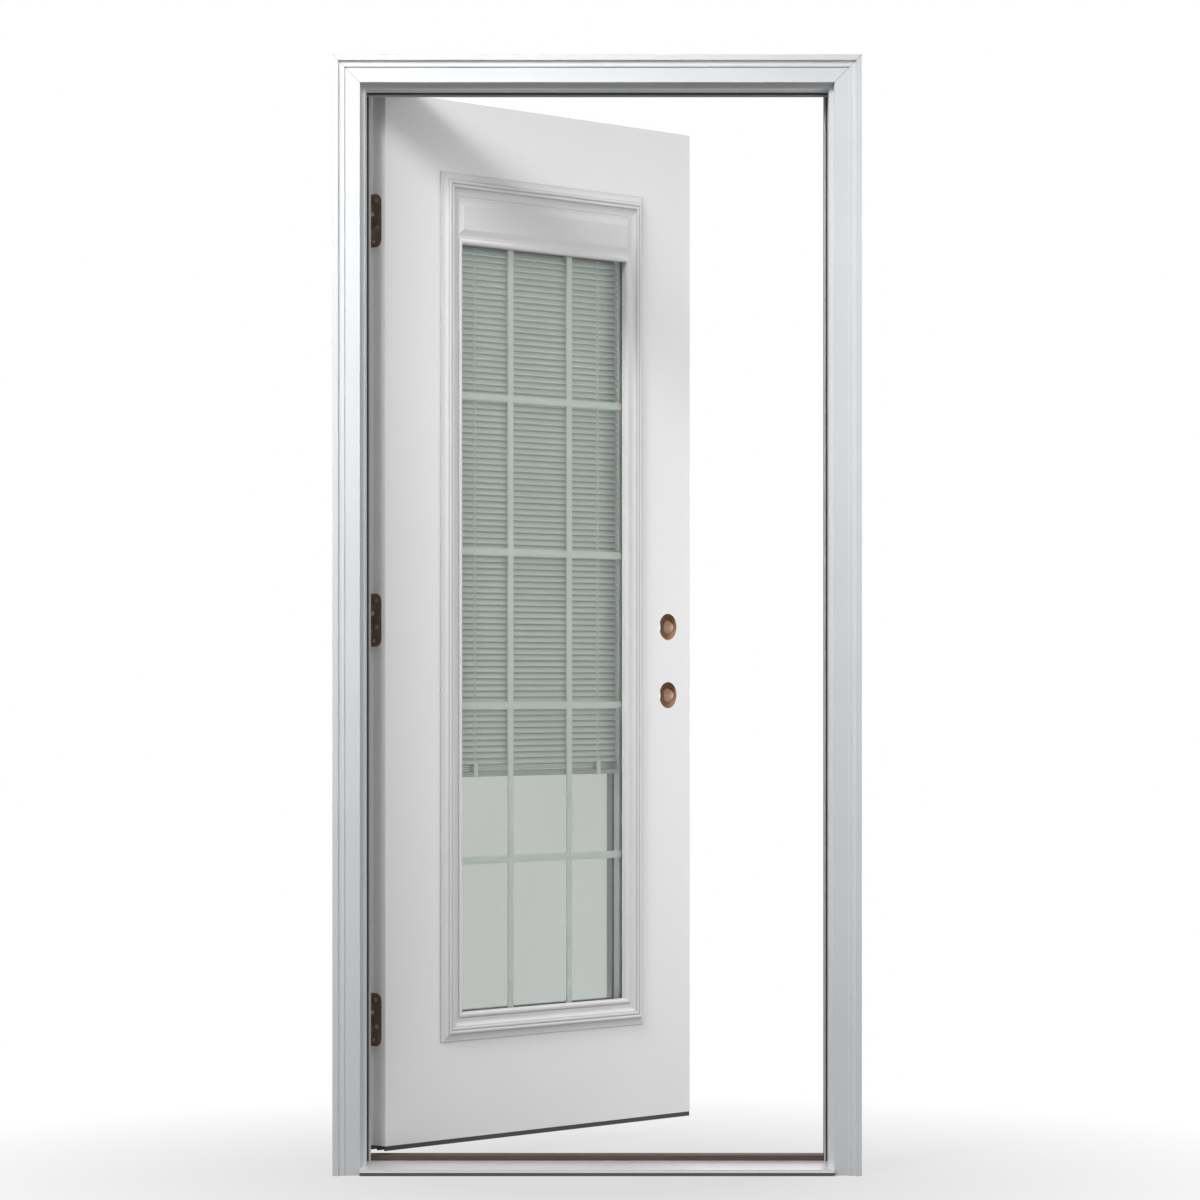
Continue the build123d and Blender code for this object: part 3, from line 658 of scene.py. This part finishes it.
# The indoor plastics are lighter copies of the same white: painted light for faces that the lamps and the coated
# pane leave dim.
indoor_plastic_painted_light = moulded_plastic("indoor_plastic_painted_light", tint(PLASTIC_WHITE, 1.15))
outdoor_moulding = moulded_plastic("outdoor_moulding", PLASTIC_WHITE, OUTDOOR_FRAME)
indoor_moulding_painted_light = moulded_plastic("indoor_moulding_painted_light", tint(PLASTIC_WHITE, 1.2), INDOOR_FRAME)
bronze = dark_bronze()
screw_bronze = screw_metal()
bar_enamel = enamel("bar_enamel", BAR_WHITE, 0.3)
rail_enamel = enamel("rail_enamel", RAIL_PAINTED_SHADE_GREY, 0.45)
slat_enamel = enamel("slat_enamel", SLAT_WHITE, 0.42, SLAT_PAINTED_SHADE)
cord = braided_cord()

dress(
    painted_timber("painted_timber", "Z"),
    "hinge_jamb", "strike_jamb", "brickmould_hinge_side", "brickmould_strike_side",
)
dress(painted_timber("painted_timber_level", "X"), "head_jamb", "brickmould_head")
dress(steel, "steel_skin_exterior", "steel_skin_interior")
dress(outdoor_moulding, "lite_frame_exterior")
dress(indoor_moulding_painted_light, "lite_frame_interior")
dress(plastic, "header_cover_exterior")
dress(indoor_plastic_painted_light, "header_cover_interior", "blind_operator_track", "blind_operator_slider")
dress(tinted_glass("clear_glass", OUTER_GLASS, 1.45), "glass_outer")
dress(tinted_glass("coated_glass", INNER_GLASS, 1.2), "glass_inner")
dress(spacer_metal(), "glass_spacer")
dress(painted_edge("hinge_edge"), "hinge_stile")
dress(painted_edge("lock_edge", EDGE_BORES), "lock_stile")
dress(cut_wood("lock_wood", 0.62, EDGE_BORES), "lock_block")
dress(cut_wood("bare_wood"), "top_rail", "bottom_rail")
dress(foam_material(), "foam_core")
dress(seal_rubber("seal_strike", True, STRIKE_FIN), "weatherstrip_strike_side")
dress(seal_rubber("seal_hinge", True, SEAL_FIN), "weatherstrip_hinge_side")
dress(seal_rubber("seal_head", False, SEAL_FIN), "weatherstrip_head")
dress(sweep_vinyl(), "door_sweep")
dress(mill_aluminium(), "sill_deck")
dress(composite("sill_composite", SILL_GREY, 0.6), "sill_base")
dress(composite("cap_composite", CAP_BROWN, 0.55), "threshold_cap")
dress(bar_enamel, "grille")
dress(rail_enamel, "blind_headrail", "blind_bottom_rail")
dress(slat_enamel, "blind_slats")
dress(cord, "blind_ladder_cords")
for place in PLACES:
    dress(bronze, "jamb_hinge_leaf_" + place, "door_hinge_leaf_" + place, "hinge_pin_" + place)


# Pieces that the scene adds
def new_piece(name, bm, material, body, replaced=None):
    """A mesh in the shared frame that rides a body, and may take the place of a CAD node."""
    mesh = bpy.data.meshes.new(name)
    bm.to_mesh(mesh)
    bm.free()
    piece = bpy.data.objects.new(name, mesh)
    bpy.context.scene.collection.objects.link(piece)
    mesh.materials.append(material)
    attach(piece, body)
    if replaced:
        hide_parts(replaced)


def angles(count):
    """A full turn in equal steps."""
    return [2 * math.pi * i / count for i in range(count)]


def skin(bm, rings, smooth):
    """Faces between equal closed rings of points, whose vertices it returns."""
    loops = [[bm.verts.new(point) for point in ring] for ring in rings]
    count = len(loops[0])
    for near, far in zip(loops, loops[1:]):
        for i in range(count):
            j = (i + 1) % count
            face = bm.faces.new((near[i], near[j], far[j], far[i]))
            face.smooth = smooth
    return loops


def add_loft(bm, rings, smooth=True):
    """A solid over equal closed rings of points."""
    loops = skin(bm, rings, smooth)
    bm.faces.new(list(reversed(loops[0])))
    bm.faces.new(loops[-1])


def slat_ring(centre, tilt, width, crown):
    """Section of one crowned slat across the blind."""
    upper = []
    lower = []
    for i in range(SLAT_STEPS + 1):
        across = (i / SLAT_STEPS - 0.5) * width
        bow = crown * (1.0 - (2.0 * across / width) ** 2)
        upper.append((across, bow + SLAT_THICKNESS / 2))
        lower.append((across, bow - SLAT_THICKNESS / 2))
    points = []
    for across, high in upper + lower[::-1]:
        y = centre.y + across * math.cos(tilt) - high * math.sin(tilt)
        z = centre.z + across * math.sin(tilt) + high * math.cos(tilt)
        points.append(at_rest(centre.x, y, z))
    return points


def make_slats():
    """Crowned slats in place of the flat ones, and the spare ones on the bottom rail."""
    rng = random.Random(SLAT_SEED)
    bm = bmesh.new()
    for index in range(SLAT_COUNT):
        tilt = SLAT_TILT + rng.uniform(-SLAT_TILT_CHANGE, SLAT_TILT_CHANGE)
        drop = rng.uniform(0.0, SLAT_SAG)
        rings = []
        for share in SLAT_SECTIONS:
            x = SLAT_LOW.x - SLAT_OVERHANG + share * (SLAT_HIGH.x - SLAT_LOW.x + 2 * SLAT_OVERHANG)
            sag = drop * (1.0 - (2.0 * share - 1.0) ** 2)
            centre = Vector((x, SLAT_MIDDLE, FIRST_SLAT + SLAT_PITCH * index - sag))
            rings.append(slat_ring(centre, tilt, SLAT_WIDTH, SLAT_CROWN))
        add_loft(bm, rings)
    z = RAIL_HIGH.z
    for index in range(STACK_COUNT):
        z += STACK_GAP if index % STACK_GROUP == STACK_GROUP - 1 else STACK_STEP
        y = SLAT_MIDDLE + rng.uniform(-STACK_PUSH, STACK_PUSH)
        ends = [Vector((x, y, z)) for x in (SLAT_LOW.x, SLAT_HIGH.x)]
        add_loft(bm, [slat_ring(centre, 0.0, STACK_WIDTH, STACK_CROWN) for centre in ends])
    new_piece("crowned_slats", bm, slat_enamel, "leaf", "blind_slats")


def make_ladders():
    """Ladder cords before and behind the slats, thick at each rung, and the lift cord through them."""
    bm = bmesh.new()
    for x in LADDERS:
        for side in (-1, 0, 1):
            rings = []
            for i in range(SLAT_COUNT * CORD_STEPS + 1):
                at_rung = i % CORD_STEPS == 0
                y = SLAT_MIDDLE + side * (KNOT_OFFSET if at_rung else CORD_OFFSET)
                z = FIRST_SLAT + SLAT_PITCH * (i / CORD_STEPS - 0.5)
                radius = KNOT_RADIUS if at_rung and side else CORD_RADIUS
                ring = []
                for angle in angles(CORD_SIDES):
                    ring.append(at_rest(x + radius * math.cos(angle), y + radius * math.sin(angle), z))
                rings.append(ring)
            add_loft(bm, rings)
    new_piece("ladder_cords", bm, cord, "leaf", "blind_ladder_cords")


def make_clips():
    """Moulded clips that hold the ladders' ends and the spare slats on the bottom rail."""
    bm = bmesh.new()
    depth = (RAIL_HIGH.y - RAIL_LOW.y) / 2
    outer = depth + CLIP_WALL
    base = RAIL_LOW.z - CLIP_WALL
    section = (
        (-depth, CLIP_TOP), (-outer, CLIP_SHOULDER), (-outer, RAIL_LOW.z), (-depth, base),
        (depth, base), (outer, RAIL_LOW.z), (outer, CLIP_SHOULDER), (depth, CLIP_TOP),
        (depth, RAIL_LOW.z), (-depth, RAIL_LOW.z),
    )
    for middle in LADDERS:
        rings = []
        for x in (middle - CLIP_HALF, middle + CLIP_HALF):
            rings.append([at_rest(x, SLAT_MIDDLE + y, z) for y, z in section])
        add_loft(bm, rings, smooth=False)
    new_piece("ladder_clips", bm, cord, "leaf")


def bar_section(depth):
    """Contour of a grille bar: flat sides, a cove and a flat crown on both faces."""
    points = [(BAR_HALF * a, depth * d) for a, d in BAR_CONTOUR]
    points += [(-a, d) for a, d in reversed(points)]
    return points + [(-a, -d) for a, d in points]


def make_grille():
    """Contoured bars in place of the plain ones, the level bars a hair prouder than the upright ones."""
    bm = bmesh.new()
    middle = (GRILLE_LOW.y + GRILLE_HIGH.y) / 2
    depth = (GRILLE_HIGH.y - GRILLE_LOW.y) / 2
    for column in range(1, BAR_COLUMNS):
        x = GRILLE_LOW.x + column * (GRILLE_HIGH.x - GRILLE_LOW.x) / BAR_COLUMNS
        rings = []
        for z in (GRILLE_LOW.z, GRILLE_HIGH.z):
            rings.append([at_rest(x + a, middle + d, z) for a, d in bar_section(depth - UPRIGHT_SHY)])
        add_loft(bm, rings, smooth=False)
    field = TRACK_HIGH.z - TRACK_LOW.z + 2 * TRACK_SHORT
    for row in range(1, BAR_ROWS):
        z = TRACK_LOW.z - TRACK_SHORT + row * field / BAR_ROWS
        rings = []
        for x in (GRILLE_LOW.x, GRILLE_HIGH.x):
            rings.append([at_rest(x, middle + d, z + a) for a, d in bar_section(depth)])
        add_loft(bm, rings, smooth=False)
    new_piece("contoured_grille", bm, bar_enamel, "leaf", "grille")


def make_side_channels():
    """White channels at the blind's ends, behind the grille, standing on the spacer."""
    bm = bmesh.new()
    out = GRILLE_HIGH.x
    face = out - CHANNEL_FACE
    front = CHANNEL_FRONT
    back = CHANNEL_BACK
    wall = CHANNEL_WALL
    section = (
        (out, front), (face, front), (face, back), (out, back),
        (out, back - wall), (face + wall, back - wall), (face + wall, front + wall), (out, front + wall),
    )
    for side in (-1, 1):
        rings = []
        for z in (GRILLE_LOW.z, GRILLE_HIGH.z):
            rings.append([at_rest(side * x, y, z) for x, y in section])
        add_loft(bm, rings, smooth=False)
    new_piece("blind_side_channels", bm, bar_enamel, "leaf")


def add_screw(bm, centre, normal):
    """A countersunk screw head with a cross recess, lying in the surface it holds."""
    across = Vector((0, 0, 1)).cross(normal).normalized()
    up = normal.cross(across).normalized()

    def at(share, angle, height):
        reach = share * SCREW_RADIUS
        return centre + across * (reach * math.cos(angle)) + up * (reach * math.sin(angle)) + normal * height

    turn = random.Random(round(centre.z * 1000)).uniform(0.0, math.pi / 2)
    rings = []
    for share, height in SCREW_PROFILE:
        rings.append([at(share, angle, height * MM) for angle in angles(SCREW_SIDES)])
    for narrow, arm, height in (RECESS_MOUTH, RECESS_FLOOR):
        ring = []
        for angle in angles(SCREW_SIDES):
            ring.append(at(narrow + arm * abs(math.cos(2 * (angle - turn))) ** 3, angle, height))
        rings.append(ring)
    loops = skin(bm, rings, smooth=False)
    bm.faces.new(loops[-1])


def make_hinge_screws():
    """Four staggered screws in every hinge leaf."""
    sides = (
        ("door_leaf_screws_", "leaf", SKIN_HINGE_EDGE, -1, TO_REST),
        ("jamb_leaf_screws_", "frame", JAMB_RABBET, 1, Matrix.Identity(4)),
    )
    for place in PLACES:
        low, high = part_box("jamb_hinge_leaf_" + place)
        middle = (low.z + high.z) / 2
        for name, body, face, out, carry in sides:
            bm = bmesh.new()
            normal = carry.to_3x3() @ Vector((out, 0, 0))
            for dz, from_edge in SCREW_PLACES:
                centre = Vector((face, JAMB_BACK - from_edge * MM, middle + dz * MM))
                add_screw(bm, carry @ centre, normal)
            new_piece(name + place, bm, screw_bronze, body)


def make_screw_plugs():
    """Small caps over the screws that clamp the two lite frames, on the indoor frame's flat."""
    low, high = INDOOR_FRAME
    y = high.y - PLUG_SEAT
    places = []
    for share in PLUGS_UP:
        z = low.z + share * (high.z - low.z)
        places.append((low.x + PLUG_INSET, z))
        places.append((high.x - PLUG_INSET, z))
    for share in PLUGS_ACROSS:
        x = low.x + share * (high.x - low.x)
        places.append((x, low.z + PLUG_INSET))
        places.append((x, high.z - PLUG_INSET))
    bm = bmesh.new()
    for x, z in places:
        rings = []
        for share, out in PLUG_PROFILE:
            reach = share * PLUG_RADIUS
            ring = []
            for angle in angles(PLUG_SIDES):
                ring.append(at_rest(x + reach * math.cos(angle), y + out * MM, z + reach * math.sin(angle)))
            rings.append(ring)
        add_loft(bm, rings)
    new_piece("lite_screw_plugs", bm, plastic, "leaf")


make_slats()
make_ladders()
make_clips()
make_grille()
make_side_channels()
make_hinge_screws()
make_screw_plugs()


# Floor, light and camera
def floor_material():
    """Pale floor that keeps the soft shadow by the object and runs out to plain white."""
    s = Shader("floor_white")
    s.colour(s.ramp(s.noise(scale=0.6, detail=2.0), FLOOR_SHADES))
    s.put("Roughness", 0.95)
    s.put("Specular IOR Level", 0.0)
    x, y, _ = s.axes(s.place())
    fade = s.remap(s.length(x, y), FADE_START, FADE_END, FADE_LOW, FADE_HIGH)
    white = s.add("ShaderNodeEmission")
    white.inputs["Color"].default_value = (1.0, 1.0, 1.0, 1.0)
    white.inputs["Strength"].default_value = 1.0
    blend = s.add("ShaderNodeMixShader")
    s.link(s.math("MULTIPLY", fade, s.looked_at()), blend.inputs["Fac"])
    s.link(s.bsdf.outputs["BSDF"], blend.inputs[1])
    s.link(white.outputs["Emission"], blend.inputs[2])
    s.link(blend.outputs["Shader"], s.tree.nodes["Material Output"].inputs["Surface"])
    return s.material


def make_floor():
    corners = [(-1, -1), (1, -1), (1, 1), (-1, 1)]
    mesh = bpy.data.meshes.new("floor")
    mesh.from_pydata([(x * FLOOR_HALF, y * FLOOR_HALF, 0.0) for x, y in corners], [], [(0, 1, 2, 3)])
    floor = bpy.data.objects.new("floor", mesh)
    bpy.context.scene.collection.objects.link(floor)
    mesh.materials.append(floor_material())


def make_world():
    """An even pale surround that reads as white behind the object."""
    world = bpy.data.worlds.new("studio")
    bpy.context.scene.world = world
    world.use_nodes = True
    tree = Nodes(world.node_tree)
    background = world.node_tree.nodes["Background"]
    background.inputs["Color"].default_value = (1.0, 1.0, 1.0, 1.0)
    tree.link(tree.remap(tree.looked_at(), WORLD_LIGHT, 1.0), background.inputs["Strength"])


def make_lamp(name, place, target, size, power, spread):
    light = bpy.data.lights.new(name, "AREA")
    light.shape = "RECTANGLE"
    light.size, light.size_y = size
    light.energy = power
    light.spread = math.radians(spread)
    lamp = bpy.data.objects.new(name, light)
    bpy.context.scene.collection.objects.link(lamp)
    lamp.location = place
    direction = Vector(target) - Vector(place)
    lamp.rotation_euler = direction.to_track_quat("-Z", "Y").to_euler()
    if name in ROOM_LAMPS:
        lamp.visible_glossy = False
        lamp.visible_transmission = False


def make_camera():
    data = bpy.data.cameras.new("camera")
    data.sensor_width = CAMERA_SENSOR
    data.lens = CAMERA_LENS
    data.shift_x = CAMERA_SHIFT_X
    data.shift_y = CAMERA_SHIFT_Y
    data.clip_end = CAMERA_REACH
    camera = bpy.data.objects.new("camera", data)
    bpy.context.scene.collection.objects.link(camera)
    camera.location = (0.0, -CAMERA_DISTANCE, CAMERA_HEIGHT)
    camera.rotation_euler = (math.radians(90.0), 0.0, 0.0)
    bpy.context.scene.camera = camera


make_floor()
make_world()
for name, values in LAMPS.items():
    make_lamp(name, *values)
make_camera()

bpy.context.scene.view_settings.view_transform = "Standard"
